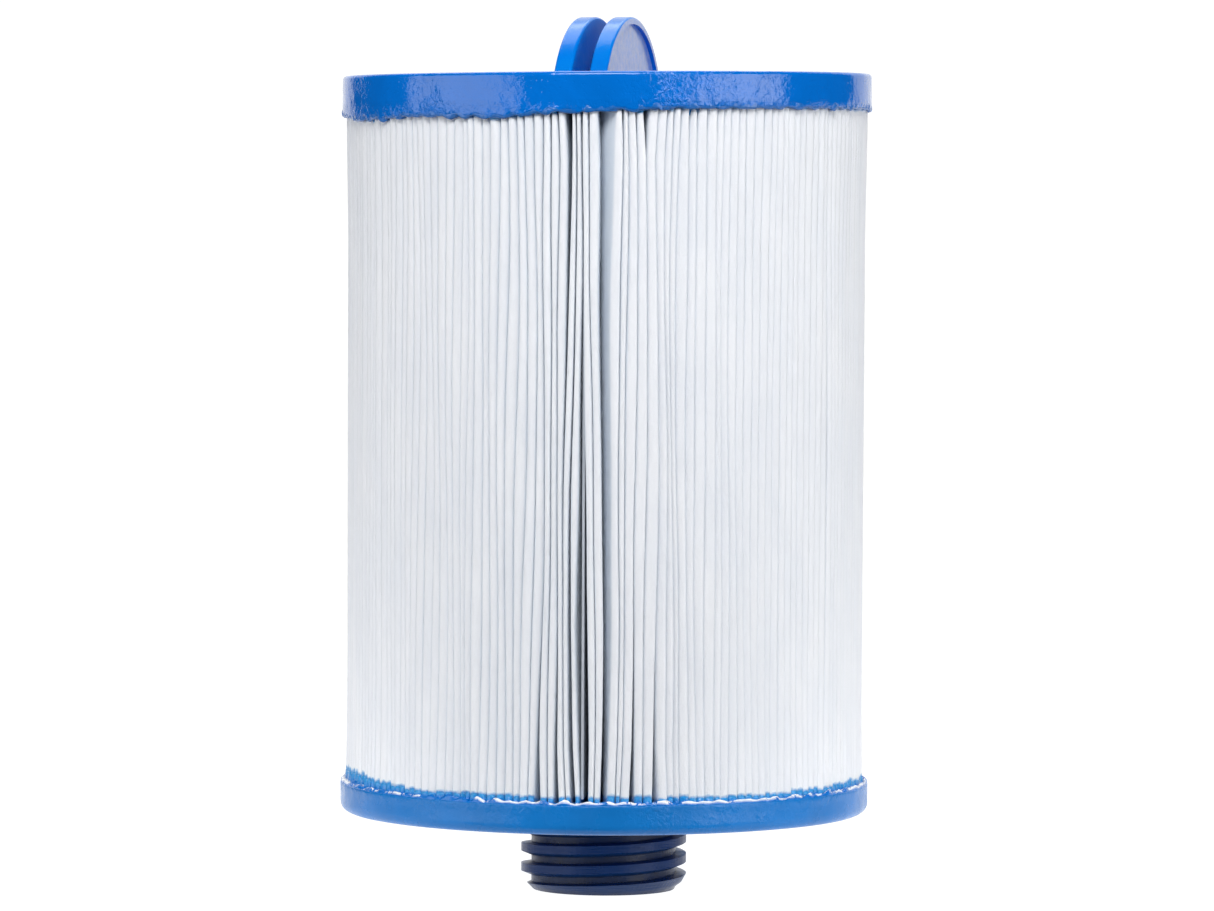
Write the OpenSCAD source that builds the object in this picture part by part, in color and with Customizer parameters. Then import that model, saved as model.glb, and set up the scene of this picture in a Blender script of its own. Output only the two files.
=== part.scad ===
// Pleated filter cartridge for a pool or spa: a ring of pleated sheet on a perforated core,
// set in resin between two cast end caps, with a two-plate handle and a coarse threaded outlet.
// Millimetres. +Z is the cartridge's axis, and z = 0 is the underside of the bottom cap,
// the face that comes down on the housing when the thread is done up.

/* [Overall] */
// Outer diameter of both end caps
cap_d = 150.8; // [150:0.2:160]
// Distance between the outer faces of the two end caps
body_length = 210; // [180:0.2:330]

/* [End caps] */
// Height of the top cap's band
top_cap_h = 10.4; // [9:0.1:14]
// Height of the bottom cap's band
bottom_cap_h = 8.4; // [7:0.1:12]
// Thickness of the rim wall round each cap
cap_wall = 1.5; // [1.2:0.1:1.6]
// Thickness of each cap's flat plate
cap_plate = 2.6; // [2:0.1:3.5]
// Radius of the edges that face away from the pleats
cap_outer_round = 1.1; // [0.6:0.1:1.4]
// Radius of the bottom cap's lower corner
bottom_round = 2.8; // [1.5:0.1:3.2]
// Distance that the resin stands out of each cap towards the pleats
resin_lip = 1.4; // [0.6:0.1:3]

/* [Handle] */
// Inner diameter of the well that the handle stands in
well_d = 78; // [70:0.5:84]
// Depth of the well below the top face
well_depth = 8; // [6:0.5:10]
// Height of the handle above the top face
handle_rise = 16.6; // [10:0.1:20]
// Radius of the half-moon's arc
handle_arc_r = 33; // [30:0.5:34]
// Thickness of each half-moon plate
plate_t = 5.2; // [4.5:0.1:6]
// Gap between the two plates
plate_gap = 5.2; // [4.6:0.1:8]
// Depth of the recess in each plate's outer face
recess_depth = 1.2; // [1:0.1:3.6]
// Width of the rim that is left round the recess
recess_rim = 2; // [1.5:0.1:4]

/* [Pleats] */
// Number of pleats
pleat_count = 184; // [120:2:190]
// Diameter over the outer folds
pleat_d = 147.4; // [146:0.1:147.4]
// Diameter inside the inner folds
fold_d = 58; // [57.6:0.1:60]
// Thickness of the sheet
sheet_t = 0.4; // [0.3:0.02:0.42]
// Half the width of an outer fold, measured to the middle of the sheet
fold_half_w = 0.62; // [0.5:0.01:0.7]

/* [Core] */
// Outer diameter of the core tube
core_d = 57.2; // [56:0.1:57.4]
// Wall thickness of the core tube
core_wall = 2.2; // [1.6:0.1:2.4]
// Windows round the core, an even number
window_columns = 12; // [8:2:14]
// Windows along the core
window_rows = 10; // [6:1:12]
// Width of a window
window_w = 9.5; // [6:0.5:10]
// Height of a window
window_h = 12.5; // [8:0.5:12.5]

/* [Threaded outlet] */
// Diameter over the thread's crests
crest_d = 47.4; // [46:0.1:48]
// Diameter at the thread's root
root_d = 41.4; // [41:0.1:43]
// Pitch of the single-start, right-hand thread
thread_pitch = 5.7; // [5.4:0.1:6.2]
// Length of the spigot below the bottom cap
spigot_length = 22.5; // [20:0.1:26]
// Plain collar between the bottom cap and the first turn
collar_length = 3; // [2:0.1:4]
// Diameter of the bore
bore_d = 37; // [30:0.5:38]

/* [Hidden] */
$fn = 96;

blue = "#0a6fd0";
resin_blue = "#3f9bd8";
navy = "#22384f";
white = "#e6eaf0";

fit = 0.1; // radial gap where one piece sits in another
past = 1; // how far a cutter runs past a face

cap_r = cap_d / 2;
rim_r = cap_r - cap_wall;
top_plate_z = body_length - cap_plate;
resin_top_z = bottom_cap_h + resin_lip; // upper face of the lower resin
resin_bottom_z = body_length - top_cap_h - resin_lip; // lower face of the upper resin
resin_r = rim_r - fit;

// The handle's insert is a cup: a floor, a wall up to the top face and a plug in the core.
cup_wall = 1.6;
cup_floor = 3;
cup_r = well_d / 2 + cup_wall;
well_z = body_length - well_depth;
insert_z = well_z - cup_floor;
handle_z = body_length + handle_rise - handle_arc_r; // centre of the half-moon's arc
plate_round = 0.8;
plug_h = 10;
plug_wall = 1.8;

// The fitting's stub is wider than its neck, so it rests on the bottom cap's plate and stands in the core.
neck_r = 25;
stub_top_z = 14;

core_r = core_d / 2;
core_in_r = core_r - core_wall;
socket_r = core_in_r - fit;
window_margin = 10;
window_step = (insert_z - cap_plate - 2 * window_margin) / window_rows;

pleat_step = 360 / pleat_count;
fold_out_r = pleat_d / 2 - sheet_t / 2;
fold_in_r = fold_d / 2 + sheet_t / 2;
inner_half_w = PI * fold_in_r / pleat_count / 2;
seam_valley = -41; // the gap that the seam is in, counted in pleats from +X
seam_r = [60, 71];

crest_r = crest_d / 2 - 0.05; // the crests stand just inside the collar
root_r = root_d / 2;
crest_w = 2.3; // width of the thread's flat crest
upper_flank = 0.5; // how much wider the ridge gets above and below, down to the root
lower_flank = 1.2;
thread_z0 = -13.7; // height of the crest's middle where it crosses +X
tip_r = crest_r - 3.4;
rod_top_z = -collar_length + 2; // the rod's top end, inside the collar
first_turn = floor((-spigot_length - thread_z0 - crest_w) / thread_pitch) - 1;
last_turn = ceil((rod_top_z - thread_z0 + crest_w) / thread_pitch) + 1;
steps_a_turn = 96;

function polar(r, a) = [r * cos(a), r * sin(a)];

// Closed ring section between two radii, with its two outer corners rounded.
module ring_section(r_in, r_out, z_low, z_high, low_round, high_round) {
    difference() {
        translate([r_in, z_low]) square([r_out - r_in, z_high - z_low]);
        corner(r_out, z_low, low_round, 1);
        corner(r_out, z_high, high_round, -1);
    }
}

// What a corner of the given radius takes away at (r, z); side is 1 at a lower corner and -1 at an upper one.
module corner(r, z, radius, side) {
    translate([r - radius, z + side * radius])
        difference() {
            translate([0, side > 0 ? -radius - past : 0]) square([radius + past, radius + past]);
            circle(radius);
        }
}

module ring(r_in, r_out, z_low, z_high) {
    rotate_extrude()
        translate([r_in, z_low]) square([r_out - r_in, z_high - z_low]);
}

// A plate with a hole in the middle and a rim wall round the resin.
module top_end_cap() {
    color(blue)
        rotate_extrude()
            difference() {
                ring_section(cup_r, cap_r, body_length - top_cap_h, body_length, 0.6, cap_outer_round);
                translate([cup_r - past, body_length - top_cap_h - past])
                    square([rim_r - cup_r + past, top_cap_h - cap_plate + past]);
            }
}

module bottom_end_cap() {
    color(blue)
        rotate_extrude()
            difference() {
                ring_section(neck_r + fit, cap_r, 0, bottom_cap_h, bottom_round, 0.6);
                translate([neck_r, cap_plate])
                    square([rim_r - neck_r, bottom_cap_h]);
            }
}

// The resin fills the cap round the handle's insert and runs in under it as far as the core.
module top_potting() {
    color(resin_blue) {
        ring(core_r + fit, resin_r, resin_bottom_z, insert_z);
        ring(cup_r, resin_r, insert_z, top_plate_z);
    }
}

module bottom_potting() {
    color(resin_blue) ring(core_r + fit, resin_r, cap_plate, resin_top_z);
}

// Round disc on the X axis with softened edges, from x = 0 to x = plate_t.
module disc() {
    rotate([0, 90, 0])
        rotate_extrude()
            ring_section(0, handle_arc_r, 0, plate_t, plate_round, plate_round);
}

// One half-moon plate at +X: the disc's upper part, with a recess in its outer face.
module half_moon() {
    recess_r = handle_arc_r - recess_rim;
    translate([plate_gap / 2, 0, 0])
        difference() {
            intersection() {
                translate([0, 0, handle_z]) disc();
                translate([-past, -handle_arc_r, well_z - past / 2])
                    cube([plate_t + 2 * past, 2 * handle_arc_r, 2 * handle_arc_r]);
            }
            intersection() {
                translate([plate_t - recess_depth, 0, handle_z])
                    rotate([0, 90, 0]) cylinder(r = recess_r, h = plate_t);
                translate([0, -handle_arc_r, well_z + recess_rim])
                    cube([2 * plate_t, 2 * handle_arc_r, 2 * handle_arc_r]);
            }
        }
}

module handle() {
    color(blue) {
        ring(0, cup_r, insert_z, well_z);
        ring(well_d / 2, cup_r, insert_z, body_length);
        ring(socket_r - plug_wall, socket_r, insert_z - plug_h, insert_z);
        half_moon();
        rotate([0, 0, 180]) half_moon();
    }
}

// The middle line of the sheet, four points to a pleat: two at the outer fold and two at the inner one.
function pleat_line() = [
    for (i = [0 : pleat_count - 1])
        let (a = i * pleat_step)
        each [
            polar(fold_out_r, a - fold_half_w / fold_out_r * 180 / PI),
            polar(fold_out_r, a + fold_half_w / fold_out_r * 180 / PI),
            polar(fold_in_r, a + pleat_step / 2 - inner_half_w / fold_in_r * 180 / PI),
            polar(fold_in_r, a + pleat_step / 2 + inner_half_w / fold_in_r * 180 / PI),
        ]
];

// A closed line moved to its right by d, with mitred corners.
function moved(line, d) = [
    for (i = [0 : len(line) - 1])
        let (
            count = len(line),
            before = line[i] - line[(i + count - 1) % count],
            after = line[(i + 1) % count] - line[i],
            n1 = [before.y, -before.x] / norm(before),
            n2 = [after.y, -after.x] / norm(after)
        )
        line[i] + d * (n1 + n2) / (1 + n1 * n2)
];

module pleated_medium() {
    line = pleat_line();
    count = len(line);
    color(white)
        translate([0, 0, resin_top_z])
            linear_extrude(resin_bottom_z - resin_top_z)
                polygon(
                    concat(moved(line, sheet_t / 2), moved(line, -sheet_t / 2)),
                    [[for (i = [0 : count - 1]) i], [for (i = [0 : count - 1]) count + i]]
                );
}

// Half the free width of the gap between two pleats, at radius r.
function half_gap(r) =
    let (along = (r - fold_in_r) / (fold_out_r - fold_in_r))
    PI * r / pleat_count - inner_half_w - along * (fold_half_w - inner_half_w) - sheet_t / 2;

module side_seam() {
    clear = 0.06;
    low = half_gap(seam_r[0]) - clear;
    high = half_gap(seam_r[1]) - clear;
    color(resin_blue)
        rotate([0, 0, (seam_valley + 0.5) * pleat_step])
            translate([0, 0, resin_top_z])
                linear_extrude(resin_bottom_z - resin_top_z)
                    polygon([[seam_r[0], -low], [seam_r[1], -high], [seam_r[1], high], [seam_r[0], low]]);
}

// Middle height of a row of windows.
function row_z(row) = cap_plate + window_margin + (row + 0.5) * window_step;

// The tube is stacked from plain rings and rows of ribs, which leave the windows open.
module core_tube() {
    color(navy) {
        for (row = [0 : window_rows - 1])
            translate([0, 0, row_z(row) - window_h / 2]) linear_extrude(window_h) ribs();
        for (row = [0 : window_rows])
            ring(
                core_in_r, core_r,
                row == 0 ? cap_plate : row_z(row - 1) + window_h / 2,
                row == window_rows ? insert_z : row_z(row) - window_h / 2
            );
    }
}

module ribs() {
    difference() {
        circle(core_r);
        circle(core_in_r);
        for (column = [0 : window_columns - 1])
            rotate((column + 0.5) * 360 / window_columns)
                translate([core_in_r - core_wall, -window_w / 2]) square([3 * core_wall, window_w]);
    }
}

// How far out the spigot may reach at height z: it is cut back at 45 degrees towards the tip.
function tip_limit(z) = tip_r + z + spigot_length;

// One corner of the thread's outline, held between the tip and the top end, where the turns run out.
function thread_corner(r, z) =
    z <= -spigot_length ? [tip_r, -spigot_length] :
    z >= rod_top_z ? [root_r, rod_top_z] :
    [min(r, tip_limit(z)), z];

// The spigot's outline at one step round it, from the tip up: four corners for each turn that it crosses.
function thread_outline(step) = [
    for (turn = [first_turn : last_turn])
        let (z = thread_z0 + (turn + step / steps_a_turn) * thread_pitch)
        each [
            thread_corner(root_r, z - crest_w / 2 - lower_flank),
            thread_corner(crest_r, z - crest_w / 2),
            thread_corner(crest_r, z + crest_w / 2),
            thread_corner(root_r, z + crest_w / 2 + upper_flank),
        ]
];

// The threaded rod: its outline carried once round the axis, where each turn has risen to the next one's start.
module threaded_rod() {
    corners = 4 * (last_turn - first_turn + 1);
    function at(step, corner) =
        step < steps_a_turn ? step * corners + corner : min(corner + 4, corners - 1);
    polyhedron(
        points = [
            for (step = [0 : steps_a_turn - 1], corner = thread_outline(step))
                let (a = step * 360 / steps_a_turn)
                [corner[0] * cos(a), corner[0] * sin(a), corner[1]]
        ],
        faces = concat(
            [[for (step = [0 : steps_a_turn - 1]) at(step, 0)]],
            [[for (step = [steps_a_turn - 1 : -1 : 0]) at(step, corners - 1)]],
            [
                for (step = [0 : steps_a_turn - 1], corner = [0 : corners - 2])
                    let (
                        low = at(step, corner), high = at(step, corner + 1),
                        next_low = at(step + 1, corner), next_high = at(step + 1, corner + 1)
                    )
                    each [[low, high, next_high], [low, next_high, next_low]]
            ]
        )
    );
}

module threaded_fitting() {
    color(navy)
        difference() {
            union() {
                ring(0, socket_r, cap_plate, stub_top_z);
                ring(0, neck_r, 0, cap_plate);
                ring(0, crest_d / 2, -collar_length, 0);
                threaded_rod();
            }
            translate([0, 0, -spigot_length - past])
                cylinder(d = bore_d, h = spigot_length + stub_top_z + 2 * past);
        }
}

top_end_cap();
top_potting();
handle();
pleated_medium();
side_seam();
core_tube();
bottom_potting();
bottom_end_cap();
threaded_fitting();
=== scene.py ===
"""A pleated pool and spa filter cartridge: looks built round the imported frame.

Metres, in the frame's own axes: +Z runs up the cartridge, and z = 0 is the bottom cap's underside.
"""

import math

import bpy
import numpy as np
from mathutils import Matrix, Vector


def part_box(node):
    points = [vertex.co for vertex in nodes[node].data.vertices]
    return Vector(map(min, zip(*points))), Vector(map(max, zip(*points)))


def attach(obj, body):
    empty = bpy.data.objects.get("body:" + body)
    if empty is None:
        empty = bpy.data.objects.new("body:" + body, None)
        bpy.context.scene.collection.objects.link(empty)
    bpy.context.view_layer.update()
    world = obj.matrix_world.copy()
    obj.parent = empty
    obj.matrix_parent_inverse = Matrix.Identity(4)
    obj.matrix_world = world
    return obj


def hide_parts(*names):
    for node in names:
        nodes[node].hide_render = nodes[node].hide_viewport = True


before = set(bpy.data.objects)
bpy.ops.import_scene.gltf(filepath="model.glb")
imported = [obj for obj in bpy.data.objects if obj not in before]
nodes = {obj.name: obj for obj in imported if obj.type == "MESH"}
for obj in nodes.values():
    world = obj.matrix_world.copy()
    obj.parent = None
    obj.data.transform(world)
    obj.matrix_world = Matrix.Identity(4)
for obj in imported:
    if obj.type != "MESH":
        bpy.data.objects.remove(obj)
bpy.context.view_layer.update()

MM = 0.001

# ---------------------------------------------------------------- sizes read from the frame

LOW, HIGH = 0, 1  # the two corners of a box
top_low, top_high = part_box("top_end_cap")
bottom_low, bottom_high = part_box("bottom_end_cap")
potting_low, potting_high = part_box("bottom_potting")

CAP_R = top_high.x
PLEAT_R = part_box("pleated_medium")[HIGH].x
CORE_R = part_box("core_tube")[HIGH].x
CUP_R = -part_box("handle")[LOW].x  # the hole in the top cap, which the handle's cup fills
WALL_R = potting_high.x  # the inside of the caps' rim walls
TOP_FACE = top_high.z
TOP_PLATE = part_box("top_potting")[HIGH].z  # the underside of the top cap's plate
TOP_BAND = top_low.z
BOTTOM_BAND = bottom_high.z
BOTTOM_PLATE = potting_low.z
BOTTOM_FACE = bottom_low.z
FLOOR_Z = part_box("threaded_fitting")[LOW].z

# Sizes that a box doesn't tell, taken over from the part's source.
THREAD_ROOT_R = 20.7 * MM
NECK_HOLE_R = 25.1 * MM  # the hole in the bottom cap, round the outlet's neck
PLATE_NEAR, PLATE_FAR = 4.0 * MM, 4.4 * MM  # between the handle plates' inner and outer faces, from x = 0

# The camera stands this many degrees round from -Y; angles "from the front" are measured from it.
CAMERA_AZIMUTH = 15.6
FRONT = math.radians(CAMERA_AZIMUTH - 90)

# ---------------------------------------------------------------- small helpers


def smooth(x):
    """0 to 1, with level ends."""
    x = np.clip(x, 0, 1)
    return x * x * (3 - 2 * x)


WAVE_SPAN = 0.2  # the height over which wave() counts its waves upwards


def wave(a, z, seed, count=10, around=(2, 14), up=(0.0, 3.0)):
    """A smooth field on the cylinder, about -1 to 1: a is an angle and z a height in metres.

    around and up are the fewest and the most waves round it and over WAVE_SPAN.
    """
    r = np.random.default_rng(seed)
    out = np.zeros(np.broadcast(a, z).shape)
    for _ in range(count):
        n = r.integers(around[0], around[1] + 1)
        k = r.uniform(*up) * 2 * math.pi / WAVE_SPAN
        out = out + np.sin(n * a + k * z + r.uniform(0, 2 * math.pi)) * r.uniform(0.5, 1)
    return out / math.sqrt(count) / 0.75


def grid_mesh(name, points, closed_u=True, closed_v=False):
    """A mesh from rows of points, points[v, u] = (x, y, z)."""
    rows, cols = points.shape[:2]
    u0, v0 = np.meshgrid(np.arange(cols if closed_u else cols - 1), np.arange(rows if closed_v else rows - 1))
    u1, v1 = (u0 + 1) % cols, (v0 + 1) % rows
    faces = np.stack([v0 * cols + u0, v0 * cols + u1, v1 * cols + u1, v1 * cols + u0], -1).reshape(-1, 4)
    mesh = bpy.data.meshes.new(name)
    mesh.from_pydata(points.reshape(-1, 3).tolist(), [], faces.tolist())
    mesh.shade_smooth()
    piece = bpy.data.objects.new(name, mesh)
    bpy.context.scene.collection.objects.link(piece)
    return piece


def polar(r, a, z):
    return np.stack(np.broadcast_arrays(r * np.cos(a), r * np.sin(a), z), -1)


def paint(piece, name, values):
    """Keeps one number for each vertex, for the piece's material to read."""
    layer = piece.data.attributes.new(name, "FLOAT", "POINT")
    layer.data.foreach_set("value", np.asarray(values, np.float32).ravel())


# ---------------------------------------------------------------- materials


class Nodes:
    """Short calls that build one material's node tree."""

    def __init__(self, name):
        self.material = bpy.data.materials.new(name)
        self.material.use_nodes = True
        self.tree = self.material.node_tree
        self.shader = self.tree.nodes["Principled BSDF"]
        self.coords = self.tree.nodes.new("ShaderNodeTexCoord").outputs["Object"]

    def node(self, kind, **settings):
        n = self.tree.nodes.new("ShaderNode" + kind)
        for key, value in settings.items():
            setattr(n, key, value)
        return n

    def link(self, a, b):
        self.tree.links.new(a, b)

    def scaled(self, scale):
        n = self.node("Mapping")
        n.inputs["Scale"].default_value = scale
        self.link(self.coords, n.inputs["Vector"])
        return n.outputs["Vector"]

    def noise(self, scale, detail=2.0, rough=0.5, stretch=(1, 1, 1), distortion=0.0):
        n = self.node("TexNoise")
        n.inputs["Scale"].default_value = scale
        n.inputs["Detail"].default_value = detail
        n.inputs["Roughness"].default_value = rough
        n.inputs["Distortion"].default_value = distortion
        self.link(self.scaled(stretch), n.inputs["Vector"])
        return n.outputs["Fac"]

    def voronoi(self, scale):
        n = self.node("TexVoronoi")
        n.inputs["Scale"].default_value = scale
        self.link(self.coords, n.inputs["Vector"])
        return n.outputs["Distance"]

    def remap(self, value, low, high, to_low=0.0, to_high=1.0):
        n = self.node("MapRange")
        for key, number in zip(("From Min", "From Max", "To Min", "To Max"), (low, high, to_low, to_high)):
            n.inputs[key].default_value = number
        self.link(value, n.inputs["Value"])
        return n.outputs["Result"]

    def math(self, operation, a, b):
        n = self.node("Math", operation=operation)
        for socket, value in zip(n.inputs, (a, b)):
            if isinstance(value, (int, float)):
                socket.default_value = value
            else:
                self.link(value, socket)
        return n.outputs["Value"]

    def mix(self, fac, a, b):
        """From colour a to colour b; the node's colour sockets are only told apart by their numbers."""
        n = self.node("Mix", data_type="RGBA")
        self.link(fac, n.inputs["Factor"])
        for socket, value in ((n.inputs[6], a), (n.inputs[7], b)):
            if isinstance(value, tuple):
                socket.default_value = (*value, 1)
            else:
                self.link(value, socket)
        return n.outputs[2]

    def attribute(self, name):
        n = self.node("Attribute", attribute_name=name)
        return n.outputs["Fac"]

    def bump(self, height, distance, strength=1.0, normal=None):
        n = self.node("Bump")
        n.inputs["Distance"].default_value = distance
        n.inputs["Strength"].default_value = strength
        self.link(height, n.inputs["Height"])
        if normal is not None:
            self.link(normal, n.inputs["Normal"])
        return n.outputs["Normal"]

    def set(self, **sockets):
        for key, value in sockets.items():
            socket = self.shader.inputs[key.replace("_", " ")]
            if isinstance(value, tuple):
                socket.default_value = (*value, 1)
            elif isinstance(value, (int, float)):
                socket.default_value = value
            else:
                self.link(value, socket)
        return self.material


def give(piece, material):
    piece.data.materials.clear()
    piece.data.materials.append(material)


def cast_resin(name, colour, peel=1.0, rough=0.07, gloss=0.6):
    """Glossy cast resin: slow flow waves, small pits and faint cloudiness, and an orange-peel surface.

    The attribute "peel" says how strong the orange peel is at each place.
    """
    n = Nodes(name)
    flow = n.noise(38, 2, 0.5)
    patches = n.math("MULTIPLY", n.remap(n.noise(90, 2, 0.5), 0.4, 0.6, 0.3, 1.0), n.attribute("peel"))
    wrinkle = n.noise(620, 3, 0.6, distortion=0.5)
    pits = n.remap(n.voronoi(650), 0.0, 0.25)
    normal = n.bump(flow, 0.0003 * peel)
    normal = n.bump(n.math("MULTIPLY", wrinkle, patches), 0.0006 * peel, normal=normal)
    normal = n.bump(pits, 0.00008 * peel, 0.6, normal)
    cloud = n.remap(n.noise(45, 3, 0.6), 0.3, 0.75)
    deep = tuple(c * 0.8 for c in colour)
    return n.set(
        Base_Color=n.mix(cloud, deep, colour),
        Roughness=n.remap(n.noise(130, 3), 0.3, 0.7, rough * 0.7, rough * 1.6),
        Normal=normal,
        IOR=1.5,
        Specular_IOR_Level=gloss,
    )


def crept_resin(name, thick, thin):
    """The film of resin on the cloth: glossy and lumpy, and paler where it thins out.

    The attribute "thin" says how thin it is; the second attribute marks the bead along its edge, where a
    broken white line is painted as a highlight that stands in for its shine.
    """
    n = Nodes(name)
    lumps = n.noise(520, 3, 0.6, distortion=0.5)
    fade = n.math("ADD", n.attribute("thin"), n.remap(n.noise(350, 3, 0.6), 0.25, 0.75, -0.3, 0.3))
    patchy = n.math("ADD", n.noise(110, 2), n.noise(26, 2))
    # Painted highlight: a broken white line along the bead's points, put into the base colour.
    broken = n.remap(n.math("ADD", n.noise(330, 3, 0.7, distortion=1.0), patchy), 1.45, 1.5)
    painted_rim_highlight = n.math("MULTIPLY", n.attribute("painted_rim_highlight"), broken)
    return n.set(
        Base_Color=n.mix(painted_rim_highlight, n.mix(n.remap(fade, 0.15, 0.9), thick, thin), (0.95, 0.97, 1.0)),
        Roughness=n.remap(n.noise(300, 2), 0.3, 0.7, 0.08, 0.3),
        Normal=n.bump(lumps, 0.00045),
        IOR=1.5,
    )


def moulded(name, colour, worn, roughness=0.3):
    """Injection-moulded plastic: a fine grain, faint flow marks and duller patches."""
    n = Nodes(name)
    grain = n.noise(2600, 3, 0.6)
    marks = n.noise(90, 3, 0.5, stretch=(1, 1, 0.35))
    normal = n.bump(marks, 0.0002)
    normal = n.bump(grain, 0.00002, normal=normal)
    return n.set(
        Base_Color=n.mix(n.remap(marks, 0.35, 0.75), colour, worn),
        Roughness=n.remap(n.noise(160, 4), 0.3, 0.7, roughness - 0.06, roughness + 0.1),
        Normal=normal,
    )


def filter_cloth(name):
    """Non-woven sheet: short fibres and faint streaks along the fold, and blue where resin has soaked in.

    The attribute "soak" is how far inside the soaked edge a point lies, in millimetres. The second attribute
    goes from 0 on a fold to as much as 1 between two folds, where the cloth is painted a bluer grey as shade.
    """
    n = Nodes(name)
    fibres = n.noise(1500, 4, 0.7, stretch=(1, 1, 0.3), distortion=1.5)
    blotch = n.noise(140, 3, 0.55, stretch=(1, 1, 0.25))
    # Painted glints: tiny near-white specks stand in for shiny fibres catching the light.
    painted_glints = n.remap(n.voronoi(1400), 0.16, 0.05)
    white = n.mix(n.remap(blotch, 0.3, 0.7), (0.85, 0.88, 0.935), (0.905, 0.925, 0.965))
    white = n.mix(n.math("MULTIPLY", painted_glints, 0.5), white, (0.97, 0.98, 1.0))
    # Painted shade: between two folds the cloth is painted a bluer grey.
    white = n.mix(n.math("MULTIPLY", n.attribute("painted_valley_shade"), 0.45), white, (0.60, 0.71, 0.83))
    inside = n.math("ADD", n.attribute("soak"), n.remap(n.noise(500, 2, 0.5), 0.25, 0.75, -0.4, 0.4))
    soaked = n.mix(n.remap(inside, 0.2, 2.0), (0.05, 0.33, 0.68), (0.005, 0.19, 0.60))
    soaked = n.mix(n.remap(n.noise(900, 2), 0.6, 0.8), soaked, (0.25, 0.52, 0.78))
    return n.set(
        Base_Color=n.mix(n.remap(inside, -0.35, 0.45), white, soaked),
        Roughness=n.remap(inside, 0, 1, 0.62, 0.3),
        Normal=n.bump(fibres, 0.00024),
        Sheen_Weight=0.2,
        Sheen_Roughness=0.4,
        Specular_IOR_Level=0.4,
    )


def threaded_plastic(name):
    """Navy plastic, grey-brown in patches in the thread's root, with fine turning lines round the axis."""
    n = Nodes(name)
    lines = n.noise(900, 2, 0.5, stretch=(0.15, 0.15, 3.0))
    radius = n.node("VectorMath", operation="LENGTH")
    n.link(n.scaled((1, 1, 0)), radius.inputs[0])
    root = n.remap(radius.outputs["Value"], THREAD_ROOT_R + 1 * MM, THREAD_ROOT_R)
    root_grey = n.math("MULTIPLY", root, n.remap(n.noise(220, 4, 0.6), 0.25, 0.7, 0.1, 0.75))
    navy = n.mix(n.noise(120, 3), (0.0005, 0.016, 0.072), (0.001, 0.028, 0.115))
    return n.set(
        Base_Color=n.mix(root_grey, navy, (0.034, 0.036, 0.052)),
        Roughness=n.remap(n.noise(300, 3), 0.3, 0.7, 0.25, 0.4),
        Normal=n.bump(lines, 0.00012),
        Specular_IOR_Level=0.22,
    )


def handle_plastic(name):
    """Glossy moulded blue; the plates' outer faces are a mottled lavender, partly scuffing and partly a
    painted sheen that stands in for the backdrop's grazing reflection, and shine more; their inner ones are
    plain.
    """
    n = Nodes(name)
    place = n.node("SeparateXYZ")
    n.link(n.coords, place.inputs[0])
    facing = n.node("SeparateXYZ")
    n.link(n.node("NewGeometry").outputs["Normal"], facing.inputs[0])
    outside = n.remap(n.math("ABSOLUTE", place.outputs["X"], 0), PLATE_NEAR, PLATE_FAR)
    sideways = n.remap(n.math("ABSOLUTE", facing.outputs["X"], 0), 0.85, 0.97)
    outer_face = n.math("MULTIPLY", outside, sideways)
    mottle = n.remap(n.noise(420, 4, 0.7), 0.3, 0.7, 0.4, 1.0)
    inner = n.math("MULTIPLY", n.math("SUBTRACT", 1, outside), sideways)
    blue = n.mix(n.remap(n.noise(90, 3), 0.35, 0.75), (0.0, 0.185, 0.70), (0.0, 0.22, 0.74))
    # Scuffing and painted sheen: the outer faces' colour is mixed towards a mottled lavender, which stands in
    # for the backdrop's grazing reflection.
    scuff_and_painted_sheen = n.math("MULTIPLY", outer_face, n.math("MULTIPLY", mottle, 0.95))
    worn = n.remap(n.noise(160, 4), 0.3, 0.7, 0.12, 0.22)
    return n.set(
        Base_Color=n.mix(scuff_and_painted_sheen, blue, (0.40, 0.46, 0.66)),
        Roughness=n.math("ADD", worn, n.math("MULTIPLY", inner, 0.25)),
        Normal=n.bump(n.noise(700, 3, 0.6), 0.00006),
        Specular_IOR_Level=n.remap(n.math("SUBTRACT", outer_face, inner), -1, 1, 0.05, 0.6),
    )


cap_blue = cast_resin("cap_resin", (0.0, 0.172, 0.69))
bottom_blue = cast_resin("bottom_cap_resin", (0.008, 0.195, 0.60), 0.5, 0.24, 0.3)
bottom_resin = crept_resin("bottom_resin", (0.0, 0.16, 0.58), (0.03, 0.30, 0.68))
top_resin = crept_resin("top_resin", (0.02, 0.15, 0.50), (0.015, 0.24, 0.58))
handle_blue = handle_plastic("handle_plastic")
core_navy = moulded("core_plastic", (0.008, 0.02, 0.05), (0.014, 0.03, 0.065), 0.45)
cloth = filter_cloth("filter_sheet")
glue = moulded("seam_glue", (0.58, 0.62, 0.68), (0.68, 0.71, 0.76), 0.4)
navy = threaded_plastic("fitting_plastic")

# ---------------------------------------------------------------- angles from the front, and the top rim


def from_front(a):
    """Angle from the front, -pi to pi."""
    return (a - FRONT + math.pi) % (2 * math.pi) - math.pi


def bump_at(a, degrees, reach):
    """1 at an angle from the front, falling off over its reach."""
    d = np.degrees((from_front(a) - math.radians(degrees) + math.pi) % (2 * math.pi) - math.pi)
    return np.exp(-((d / reach) ** 2))


TOP_LEAN = 0.7 * MM  # the top cap sits a little out of level: its right side, from the front, is this much up
MOST_DROOP = 2.3 * MM
LIFTED = 0.6 * MM  # how far the rim stands above its level where it doesn't droop

# Where the top cap's resin ran down further: degrees from the front, reach in degrees, and millimetres.
DROOPED = (
    (-62, 26, 2.3), (-24, 15, 1.9), (-4, 4, 0.7), (6, 2.5, 0.7),
    (110, 16, 1.4), (-150, 22, 1.7), (172, 10, 1.2),
)


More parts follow.
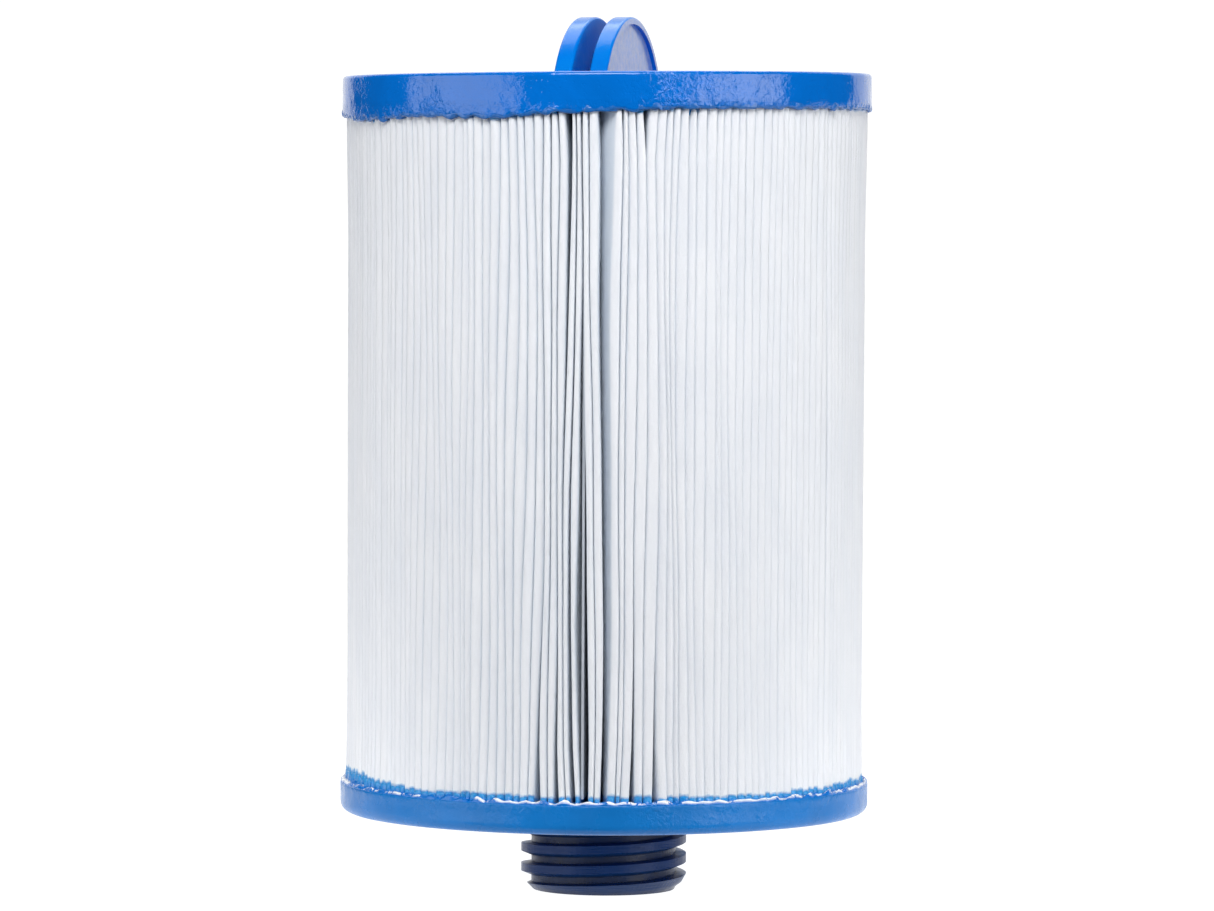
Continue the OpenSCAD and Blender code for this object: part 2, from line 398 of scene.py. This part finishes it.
def droop(a):
    """How far the top cap's rim hangs below its level at each angle; less than 0 where it stands above."""
    slow = sum(depth * bump_at(a, at, reach) for at, reach, depth in DROOPED) * MM
    return np.minimum(slow, MOST_DROOP) * (1 + 0.22 * wave(a, 0, 51, 14, around=(20, 120))) - LIFTED


# ---------------------------------------------------------------- the pleated sheet

PLEATS = 184  # as many as the frame's pleated_medium has
PITCH = 2 * math.pi / PLEATS
FOLD_R = CORE_R + 0.6 * MM  # the inner folds, close round the core
TIP_SIZE = 0.42 * MM  # how deep the outer fold's rounding is
TIP_ANGLES = (-64, -38, 0, 38, 64)  # degrees, points round each outer fold
FLANK_DEPTHS = (0.3 * MM, 2 * MM, 7 * MM, 20 * MM)  # points down each flank, below the tip's edge
POINTS_A_PLEAT = 2 + 2 * len(FLANK_DEPTHS) + len(TIP_ANGLES)  # with half of an inner fold at both ends
MIDDLE_POINT = POINTS_A_PLEAT // 2
FACE_POINTS = 4  # points from a pleat's middle to the edge of what is seen of it
SET_IN = 4 * MM  # how far the sheet's ends stay short of the outer faces, inside the resin
SHEET_LOW, SHEET_HIGH = SET_IN, TOP_FACE - SET_IN

# Places where the pleats have spread: degrees from the front, then the opening in millimetres
# at each of these heights, from 0 at the bottom to 1 at the top.
SPREAD_HEIGHTS = (0, 0.09, 0.25, 0.5, 0.75, 0.93, 1)
SPREADS = (
    (-12.2, 2.0, 0.7, 0.0, 0.0, 0.0, 0.0, 0.0),
    (-9.3, 1.3, 0.7, 0.1, 0.0, 0.0, 0.0, 0.0),
    (-8.2, 0.0, 0.0, 0.0, 0.2, 0.6, 1.2, 2.0),
    (-6.4, 1.2, 1.0, 0.7, 0.2, 0.0, 0.0, 0.0),
    (-4.8, 2.2, 3.2, 3.4, 1.7, 0.2, 0.1, 0.2),
    (0.6, 2.0, 2.0, 2.3, 2.9, 3.6, 4.2, 4.8),
    (4.4, 1.6, 0.7, 0.1, 0.0, 0.0, 0.0, 0.1),
    (8.2, 0.2, 0.0, 0.0, 0.0, 0.0, 0.0, 1.5),
    (11.2, 2.0, 0.8, 0.1, 0.0, 0.0, 0.0, 0.0),
    (57.0, 0.3, 0.3, 0.5, 0.9, 0.6, 0.3, 0.2),
    (118.0, 1.1, 0.9, 0.8, 0.4, 0.1, 0.0, 0.0),
    (151.0, 0.0, 0.1, 0.2, 0.5, 0.9, 1.2, 1.3),
    (-163.0, 0.9, 1.0, 1.0, 0.5, 0.2, 0.1, 0.1),
    (-97.0, 0.2, 0.3, 0.3, 0.5, 0.9, 1.0, 1.0),
)
SPREAD_REACH = 11 * MM  # how far the neighbours are pushed along
EVEN_HALF = 0.62 * MM  # half the width of a pleat with straight flanks, at the tip circle
FLANK_FADE = 6 * MM  # how deep a tip's own width is felt down its flanks
OPENING_DEPTH = 7 * MM  # how far down a flank has leant into the free room beside it


def along(z):
    """0 at the sheet's visible bottom, 1 at its visible top."""
    return np.clip((z - BOTTOM_BAND) / (TOP_BAND - BOTTOM_BAND), 0, 1)


def spread(x, z, centres):
    """x, lengths round the tip circle, pushed apart where the pleats have opened.

    centres are the middles of the same pleats, and say to which side of an opening each one goes.
    """
    t = along(z)
    around = 2 * math.pi * PLEAT_R
    moved = x.copy()
    for degrees, *opening in SPREADS:
        at = (FRONT + math.radians(degrees)) % (2 * math.pi) * PLEAT_R
        side = np.sign((centres - at + around / 2) % around - around / 2)
        d = np.abs((x - at + around / 2) % around - around / 2)
        moved += 0.5 * np.interp(t, SPREAD_HEIGHTS, opening) * MM * side * np.exp(-d / SPREAD_REACH)
    return moved


def tip_places(z):
    """At height z, for each outer fold: its middle and half width as lengths round the tip circle, the free
    room before and after it, how far it stands out, and its own twist from -1 to 1.
    """
    t = along(z)
    k = np.arange(PLEATS)
    r = np.random.default_rng(11)
    # Unequal widths, whose sum is kept from drifting away from the even pitch.
    widths = 1 + np.clip(r.normal(0, 0.2, PLEATS), -0.36, 0.42)
    widths *= 1 - 0.2 * bump_at(k * PITCH, -7, 6) + 0.5 * bump_at(k * PITCH, 6, 6)
    rough = np.cumsum(widths / widths.mean()) - k
    window = np.hanning(15) / np.hanning(15).sum()
    drift = np.convolve(np.tile(rough, 3), window, "same")[PLEATS : 2 * PLEATS]
    # Each pleat wanders by itself and sways with its neighbours.
    phase = r.uniform(0, 2 * math.pi, (6, PLEATS))
    own = sum(np.sin(phase[i] + z * f) for i, f in enumerate((28, 55, 95))) * 0.08 * MM
    own *= 1 + bump_at(k * PITCH, -9, 9)
    sway = 0.5 * MM * wave(k * PITCH, z, 21, around=(4, 30), up=(0.2, 1.4))
    home = (k + rough - drift) * PITCH * PLEAT_R
    first = home + own + sway
    last = np.append(first[1:], first[0] + 2 * math.pi * PLEAT_R)
    middle = home + 0.5 * widths / widths.mean() * PITCH * PLEAT_R
    first, last = spread(first, z, middle), spread(last, z, middle)
    # Some tips are pinched narrower where the resin holds them, and some stand apart from their neighbours.
    pinch = (0.14 + 0.2 * bump_at(k * PITCH, 9, 12)) * smooth((t - 0.94) / 0.06)
    pinch = pinch + 0.05 * smooth((0.04 - t) / 0.04)
    squeeze = 1 - pinch * (0.5 + 0.5 * np.sin(phase[3]))
    parted = 0.03 + 0.05 * bump_at(k * PITCH, -5, 12) * (1 + np.sin(phase[2]))
    parted = parted + 0.13 * np.maximum(np.sin(phase[0]) - 0.5, 0)
    half = 0.5 * (last - first) * squeeze + (0.04 - parted) * MM
    free = np.maximum(np.roll(first, -1) - last, 0)
    free[-1] = max(first[0] + 2 * math.pi * PLEAT_R - last[-1], 0)
    proud = 0.16 * MM * np.sin(phase[4] + 14 * z)
    twist = 0.6 * np.sin(phase[5]) + 0.4 * np.sin(phase[4] + 22 * z)
    return 0.5 * (first + last), half, np.roll(free, 1), free, proud, twist


def pleat_row(z, tip_r):
    """One level of the sheet's line: for each pleat up one flank, round the tip and down the other."""
    place, half, free_before, free_after, proud, twist = tip_places(z)
    tip_r = tip_r + proud
    size = TIP_SIZE * (1 + 1.7 * bump_at(place / PLEAT_R, -8, 20))
    uniform = np.arange(PLEATS) * PITCH
    lean = place / PLEAT_R - uniform
    fold_half = PITCH / 4
    side_on = np.sin(from_front(place / PLEAT_R))
    # The tips lie like shingles, sloping down towards the front.
    tilt = -0.7 * MM * side_on / np.sqrt(side_on**2 + 0.02)
    tilt = tilt + 0.24 * MM * twist
    # The pleat right of the widest opening slopes down into it.
    seam = np.clip(free_before / MM - 1, 0, 1) * bump_at(place / PLEAT_R, 2.6, 2)
    rows = []

    def point(side, below):
        r = tip_r - size - 0.5 * (np.abs(tilt) + side * tilt) - below
        share = (r - FOLD_R) / (tip_r - FOLD_R)
        plain = fold_half * FOLD_R + (EVEN_HALF - fold_half * FOLD_R) * share
        width = plain + (half - EVEN_HALF) * math.exp(-below / FLANK_FADE)
        room = free_before if side < 0 else free_after
        slope = 0.7 * seam if side < 0 else 0
        width = width + (0.14 + slope) * room * smooth(below / OPENING_DEPTH * (1 + slope))
        return np.stack([r, uniform + lean * share**1.2 + side * width / r], -1)

    rows.append(np.stack([np.full(PLEATS, FOLD_R), uniform - fold_half], -1))
    rows += [point(-1, d) for d in reversed(FLANK_DEPTHS)]
    for degrees in TIP_ANGLES:
        a = math.radians(degrees)
        u = math.sin(a)
        r = tip_r - size * (1 - math.cos(a)) - 0.5 * (np.abs(tilt) + u * tilt)
        rows.append(np.stack([r, uniform + lean + half * u / r], -1))
    rows += [point(1, d) for d in FLANK_DEPTHS]
    rows.append(np.stack([np.full(PLEATS, FOLD_R), uniform + fold_half], -1))
    ra = np.stack(rows, 1).reshape(-1, 2)
    return ra[:, 0], ra[:, 1]


def tip_radius(z):
    """The tips stand a little prouder where the caps hold them."""
    t = along(z)
    return PLEAT_R + MM * (0.10 + 0.55 * smooth((t - 0.8) / 0.2) + 0.25 * smooth((0.12 - t) / 0.12))


def soak_height(seed, low, high):
    """How far the resin has crept along each pleat's tip, one number a pleat."""
    a = np.arange(PLEATS) * PITCH
    r = np.random.default_rng(seed)
    share = 0.5 + 0.3 * wave(a, 0, seed, around=(2, 9)) + r.normal(0, 0.18, PLEATS)
    return low + (high - low) * np.clip(share, 0, 1.3)


pleat_angles = np.arange(PLEATS) * PITCH
turned = from_front(pleat_angles)

# The bottom resin has crept highest on the left side, and the painted shade between the cloth's folds is
# lighter on the right.
left_side = smooth((-turned - 0.6) / 0.7) * smooth((turned + 2.6) / 0.5)
right_side = smooth((turned - 0.01) / 0.12) * smooth((1.5 - turned) / 0.6)
bottom_soak = soak_height(5, 1.6 * MM, 3.0 * MM) + 2.4 * MM * left_side
top_soak = soak_height(6, 0.3 * MM, 1.6 * MM)

END_LEVELS = np.array([0, 2, 4.2, 5.4, 6.8, 8.4, 10.5, 14, 20]) * MM  # close together where the resin ends
END_LENGTH = 30 * MM


def build_sheet():
    middle_levels = np.linspace(SHEET_LOW + END_LENGTH, SHEET_HIGH - END_LENGTH, 13)
    z = np.concatenate([SHEET_LOW + END_LEVELS, middle_levels, SHEET_HIGH - END_LEVELS[::-1]])
    levels, soak = [], []
    tips = np.repeat(np.arange(PLEATS), POINTS_A_PLEAT)
    face = (MIDDLE_POINT - FACE_POINTS, MIDDLE_POINT, MIDDLE_POINT + FACE_POINTS)
    u = np.tile(np.interp(np.arange(POINTS_A_PLEAT), face, (-1, 0, 1)), PLEATS)
    low_edge = BOTTOM_BAND + bottom_soak[tips] * (1 - 0.35 * u**2)
    top_rim = TOP_BAND + TOP_LEAN * np.sin(turned) - droop(pleat_angles)
    high_edge = (top_rim - 0.6 * top_soak)[tips] + 0.2 * MM * u**2
    for height in z:
        r, a = pleat_row(height, tip_radius(height))
        levels.append(polar(r, a, height))
        soak.append(np.clip(np.maximum(low_edge - height, height - high_edge) / MM, -9, 9))
    sheet = grid_mesh("pleated_sheet", np.array(levels))
    paint(sheet, "soak", soak)
    # Painted shade between the folds, weaker on the right side.
    valley_shade = smooth((np.abs(u) - 0.22) / 0.5) * (1 - 0.55 * right_side)[tips]
    paint(sheet, "painted_valley_shade", np.tile(valley_shade, len(z)))
    give(sheet, cloth)
    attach(sheet, "root")
    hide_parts("pleated_medium")


build_sheet()

# ---------------------------------------------------------------- the resin round the pleat tips

ACROSS = np.array([-1, -0.78, -0.45, 0, 0.45, 0.78, 1])  # from one gap over the tip to the next
COLUMNS_A_PLEAT = len(ACROSS)
SKIRT_INNER_R = 60 * MM  # where the resin's film ends, out of sight among the pleats


def tip_line(z):
    """Radius and angle of the sheet's outer folds at one height, seven points to a pleat."""
    r, a = pleat_row(z, tip_radius(z))
    start = MIDDLE_POINT - COLUMNS_A_PLEAT // 2
    pick = slice(start, start + COLUMNS_A_PLEAT)
    r = r.reshape(PLEATS, POINTS_A_PLEAT)[:, pick]
    a = a.reshape(PLEATS, POINTS_A_PLEAT)[:, pick]
    return r.ravel(), a.ravel()


def resin_skirt(name, node, material, rim_z, toward, finger, gap, bead, lump, painted_highlight):
    """Resin that has crept from a cap's rim along the pleat tips.

    From the rim inwards it is a bead, a hollow, and then one finger a pleat.
    toward is 1 where the pleats stand above the rim and -1 where they hang below it. finger and gap
    are how far it creeps on each tip and between the tips; bead and lump shape what lies on the rim.
    A 1 for the last argument paints a broken white highlight along the bead, standing in for its shine; 0
    leaves it out.
    """
    count = PLEATS * COLUMNS_A_PLEAT
    even = (np.arange(count) + 0.5) / count * 2 * math.pi - PITCH / 2
    u = np.tile(np.abs(ACROSS), PLEATS)
    finger, gap = np.repeat(finger, COLUMNS_A_PLEAT), np.repeat(gap, COLUMNS_A_PLEAT)
    reach = gap + (finger - gap) * (1 - u**2.5)
    tip_r, tip_a = tip_line(rim_z + toward * 1.5 * MM)
    hug = np.maximum(tip_r, PLEAT_R - 0.9 * MM)
    rise = bead * np.maximum(1 + 0.55 * wave(even, 0, 31, 14, around=(14, 110)), 0.2)
    out = lump * (0.3 + wave(even, 0, 32, 16, around=(12, 140)))
    outer = CAP_R - 0.2 * MM + np.maximum(out, 0)
    hang = droop(even) if toward < 0 else 0
    rim_z = rim_z - hang
    deep = rim_z - toward * 3 * MM
    outline = (
        (SKIRT_INNER_R, deep, even),
        (outer - 0.3 * MM, deep, even),
        (outer - 0.3 * MM, rim_z - toward * 1.6 * MM, even),
        (outer, rim_z - toward * 0.7 * MM, even),
        (outer, rim_z - toward * 0.1 * MM + toward * rise * 0.3, even),
        (outer - 0.22 * MM, rim_z + toward * rise * 0.85, even),
        (outer - 0.55 * MM, rim_z + toward * rise, 0.5 * (even + tip_a)),
        (0.4 * outer + 0.6 * hug - 0.1 * MM, rim_z + toward * (0.35 * rise + 0.12 * reach), tip_a),
        (hug + 0.3 * MM, rim_z + toward * (0.2 * rise + 0.3 * reach), tip_a),
        (hug + 0.2 * MM, rim_z + toward * 0.62 * reach, tip_a),
        (hug + 0.12 * MM, rim_z + toward * 0.9 * reach, tip_a),
        (hug + 0.02 * MM, rim_z + toward * reach, tip_a),
        (hug - 0.35 * MM, rim_z + toward * (reach - 0.1 * MM), tip_a),
        (hug - 1.6 * MM, rim_z + toward * np.minimum(reach - 0.1 * MM, 0.3 * MM), tip_a),
        (SKIRT_INNER_R, rim_z + toward * 0.1 * MM, even),
    )
    thin = (0, 0, 0, 0, 0, 0, 0.05, 0.15, 0.3, 0.6, 0.9, 1, 1, 0.5, 0.2)  # for each point of the outline
    crest = (5, 6, 7)  # the bead's points
    lean = TOP_LEAN if toward < 0 else 0
    levels = np.array([polar(r, a, z + lean * np.sin(from_front(a))) for r, z, a in outline])
    skirt = grid_mesh(name, levels, closed_v=True)
    paint(skirt, "thin", np.repeat(thin, count))
    # Painted highlight on the bead's points, where the last argument asks for it.
    paint(skirt, "painted_rim_highlight", np.repeat([painted_highlight * (i in crest) for i in range(len(outline))], count))
    give(skirt, material)
    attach(skirt, "root")
    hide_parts(node)


resin_skirt(
    "bottom_resin", "bottom_potting", bottom_resin, BOTTOM_BAND, 1,
    finger=bottom_soak * 0.8, gap=soak_height(8, 0.25 * MM, 0.7 * MM) + 0.3 * bottom_soak * left_side,
    bead=0.85 * MM, lump=0.05 * MM, painted_highlight=1,
)
two_drips = 2.6 * MM * (bump_at(pleat_angles, 18, 0.7) + bump_at(pleat_angles, 22.8, 0.7))
resin_skirt(
    "top_resin", "top_potting", top_resin, TOP_BAND, -1,
    finger=0.5 * top_soak, gap=soak_height(9, 0.1 * MM, 0.6 * MM) + two_drips,
    bead=0.6 * MM, lump=0.2 * MM, painted_highlight=0,
)

# ---------------------------------------------------------------- the end caps


def arc(centre_r, centre_z, radius, start, stop, count=7):
    a = np.radians(np.linspace(start, stop, count))
    return np.stack([centre_r + radius * np.cos(a), centre_z + radius * np.sin(a)], -1)


def cap_outline(inner_r, face_z, plate_z, rim_z, face_round, rim_round):
    """Closed outline of a cap as (r, z): out along its face, over the band and back inside the rim."""
    up = 1 if face_z > rim_z else -1
    face = [(r, face_z) for r in np.linspace(inner_r, CAP_R - face_round, 12)]
    band_z = np.linspace(face_z - up * face_round, rim_z + up * rim_round, 13)
    return np.vstack([
        [(inner_r, plate_z)],
        face[:-1],
        arc(CAP_R - face_round, face_z - up * face_round, face_round, up * 90, 0),
        [(CAP_R, z) for z in band_z[1:-1]],
        arc(CAP_R - rim_round, rim_z + up * rim_round, rim_round, 0, -up * 90, 5),
        [(WALL_R, rim_z), (WALL_R, plate_z)],
    ])


FLAT_R = 41 * MM  # inside this radius the top face stays level, where it meets the handle

# Where the resin's surface has wrinkled: degrees from the front, reach in degrees, and strength.
PEELED = (
    (-41, 4, 0.9), (-22, 7, 0.5), (11, 5, 1.0), (23, 9, 0.5), (37, 3, 0.5), (52, 5, 0.3), (-66, 5, 0.3),
    (97, 10, 0.7), (140, 14, 0.4), (-125, 12, 0.6), (-160, 8, 0.9),
)


def end_cap(name, node, outline, rim_z, material, ripple, sag, lean=0):
    """A cap turned from its outline, with ripples on the band and a rim edge that wanders by up to sag.

    A cap with a lean is raised by so much on its right side, and its rim follows the droop.
    """
    columns = PLEATS * 6
    a = np.arange(columns) / columns * 2 * math.pi
    face_z = outline[1][1]
    to_rim_side = np.sign(rim_z - face_z)
    levels = []
    for r, z in outline:
        on_band = smooth((r - CAP_R + 3 * MM) / (2.5 * MM))
        slow = wave(a, z, 41, 10, around=(3, 16), up=(0, 4))
        quick = wave(a, z, 42, 16, around=(30, 110), up=(8, 30))
        push = on_band * ripple * (0.6 * slow + 0.3 * quick)
        to_rim = smooth(1 - abs(z - rim_z) / (2.5 * MM)) * on_band
        drop = to_rim * (sag * (0.5 + 0.5 * wave(a, 0, 43, 18, around=(8, 150))) + (droop(a) if lean else 0))
        raised = lean * np.sin(from_front(a)) * smooth((r - FLAT_R) / (30 * MM))
        levels.append(polar(r + push, a, z + raised + to_rim_side * drop))
    cap = grid_mesh(name, np.array(levels), closed_v=True)
    rim = np.array([smooth(1.3 - abs(z - rim_z) / (2.2 * MM)) for _, z in outline])
    patches = sum(strength * bump_at(a, at, reach) for at, reach, strength in PEELED)
    paint(cap, "peel", 0.16 + patches + 0.7 * rim[:, None])
    give(cap, material)
    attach(cap, "root")
    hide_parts(node)


end_cap(
    "top_cap", "top_end_cap",
    cap_outline(CUP_R, TOP_FACE, TOP_PLATE, TOP_BAND, 1.1 * MM, 0.6 * MM),
    TOP_BAND, cap_blue, ripple=0.05 * MM, sag=0.15 * MM, lean=TOP_LEAN,
)
end_cap(
    "bottom_cap", "bottom_end_cap",
    cap_outline(NECK_HOLE_R, BOTTOM_FACE, BOTTOM_PLATE, BOTTOM_BAND, 2.8 * MM, 0.5 * MM),
    BOTTOM_BAND, bottom_blue, ripple=0.03 * MM, sag=0.12 * MM,
)

# ---------------------------------------------------------------- the moulded parts

give(nodes["handle"], handle_blue)
give(nodes["core_tube"], core_navy)
give(nodes["side_seam"], glue)
give(nodes["threaded_fitting"], navy)

# ---------------------------------------------------------------- the studio

FLOOR_FRONT, FLOOR_BACK = -0.09, 2.5  # where the floor starts and where it starts to bend, behind the axis
BEND_R = 0.8
WALL_TOP = 4.2
WALL_LEFT, WALL_RIGHT = -2.5, 3.5
FRONT_SHARE, BACK_SHARE = 0.12, 0.75  # of the wall's width, at the floor's front edge and where it bends
ROOM_R = 9.0
CAMERA_LENS, SENSOR = 189.0, 36  # millimetres
CAMERA_DISTANCE, CAMERA_HEIGHT = 1.82, 0.180
CAMERA_DOWN, CAMERA_ROLL = 2.469, 0.27  # degrees
CAMERA_ASIDE = 0.43 * MM  # how far right of the axis the camera looks


def backdrop_white(name):
    """White that glows by itself and has no shine."""
    n = Nodes(name)
    return n.set(
        Base_Color=n.mix(n.noise(3), (0.20, 0.20, 0.20), (0.22, 0.22, 0.22)),
        Roughness=0.9,
        Specular_IOR_Level=0.0,
        Emission_Color=(1, 1, 1),
        Emission_Strength=1.0,
    )


def white_sweep():
    """A pale floor, narrow in front, that widens and curves up into the backdrop."""
    side = np.array([WALL_LEFT, 0, WALL_RIGHT])
    bend = np.radians(np.linspace(0, 90, 13))
    widths = np.concatenate([[FRONT_SHARE], np.linspace(BACK_SHARE, 1, len(bend)), [1]])
    back = np.concatenate([[FLOOR_FRONT], FLOOR_BACK + BEND_R * np.sin(bend), [FLOOR_BACK + BEND_R]])
    up = np.concatenate([[0], BEND_R - BEND_R * np.cos(bend), [WALL_TOP]])
    turn = math.radians(CAMERA_AZIMUTH)
    x, y = widths[:, None] * side, back[:, None]
    world_x = x * math.cos(turn) - y * math.sin(turn)
    world_y = x * math.sin(turn) + y * math.cos(turn)
    world_z = np.repeat((up + FLOOR_Z)[:, None], len(side), 1)
    sweep = grid_mesh("sweep", np.stack([world_x, world_y, world_z], -1), closed_u=False)
    give(sweep, backdrop_white("sweep_white"))


def surround():
    """A pale room beyond the sweep, which only the camera sees."""
    bend = np.radians(np.linspace(-88, 88, 25))
    a = np.radians(np.arange(0, 360, 7.5))
    points = np.array([polar(ROOM_R * math.cos(e), a, ROOM_R * math.sin(e)) for e in bend])
    room = grid_mesh("surround", points)
    room.visible_diffuse = False
    room.visible_glossy = False
    room.visible_shadow = False
    room.visible_transmission = False
    give(room, backdrop_white("surround_white"))


def softbox(name, azimuth, elevation, distance, width, height, power):
    """An area light that faces the cartridge.

    azimuth and elevation are in degrees, azimuth from the camera's side and positive to its right.
    """
    data = bpy.data.lights.new(name, "AREA")
    data.shape = "RECTANGLE"
    data.size, data.size_y, data.energy = width, height, power
    lamp = bpy.data.objects.new(name, data)
    a, e = math.radians(CAMERA_AZIMUTH + azimuth), math.radians(elevation)
    middle = Vector((0, 0, 0.5 * (TOP_FACE + BOTTOM_FACE)))
    back = Vector((math.sin(a) * math.cos(e), -math.cos(a) * math.cos(e), math.sin(e)))
    lamp.location = middle + distance * back
    lamp.rotation_mode = "QUATERNION"
    lamp.rotation_quaternion = back.to_track_quat("Z", "Y")
    lamp.visible_camera = False
    bpy.context.scene.collection.objects.link(lamp)


def camera():
    """A long lens, slightly above the middle, looking a little down."""
    data = bpy.data.cameras.new("camera")
    data.lens = CAMERA_LENS
    data.sensor_width = SENSOR
    data.clip_end = 50
    eye = bpy.data.objects.new("camera", data)
    a = math.radians(CAMERA_AZIMUTH)
    right = Vector((math.cos(a), math.sin(a), 0))
    eye.location = Vector((math.sin(a), -math.cos(a), 0)) * CAMERA_DISTANCE + Vector((0, 0, CAMERA_HEIGHT))
    fall = CAMERA_DISTANCE * math.tan(math.radians(CAMERA_DOWN))
    target = Vector((0, 0, CAMERA_HEIGHT - fall)) + right * CAMERA_ASIDE
    look = (target - eye.location).to_track_quat("-Z", "Y")
    eye.rotation_mode = "QUATERNION"
    eye.rotation_quaternion = look @ Matrix.Rotation(math.radians(CAMERA_ROLL), 4, "Z").to_quaternion()
    bpy.context.scene.collection.objects.link(eye)
    bpy.context.scene.camera = eye


white_sweep()
surround()
softbox("left_softbox", -63, 6, 1.0, 0.94, 0.8, 4.9)
softbox("right_softbox", 56, 8, 1.0, 0.66, 0.7, 5.0)
softbox("front_fill", 0, 42, 1.1, 0.7, 0.5, 9.4)
softbox("top_softbox", 185, 62, 1.0, 0.9, 0.6, 4.5)
camera()

world = bpy.data.worlds.new("studio")
world.use_nodes = True
world.node_tree.nodes["Background"].inputs["Color"].default_value = (0.02, 0.02, 0.022, 1)
bpy.context.scene.world = world
bpy.context.scene.view_settings.view_transform = "Standard"
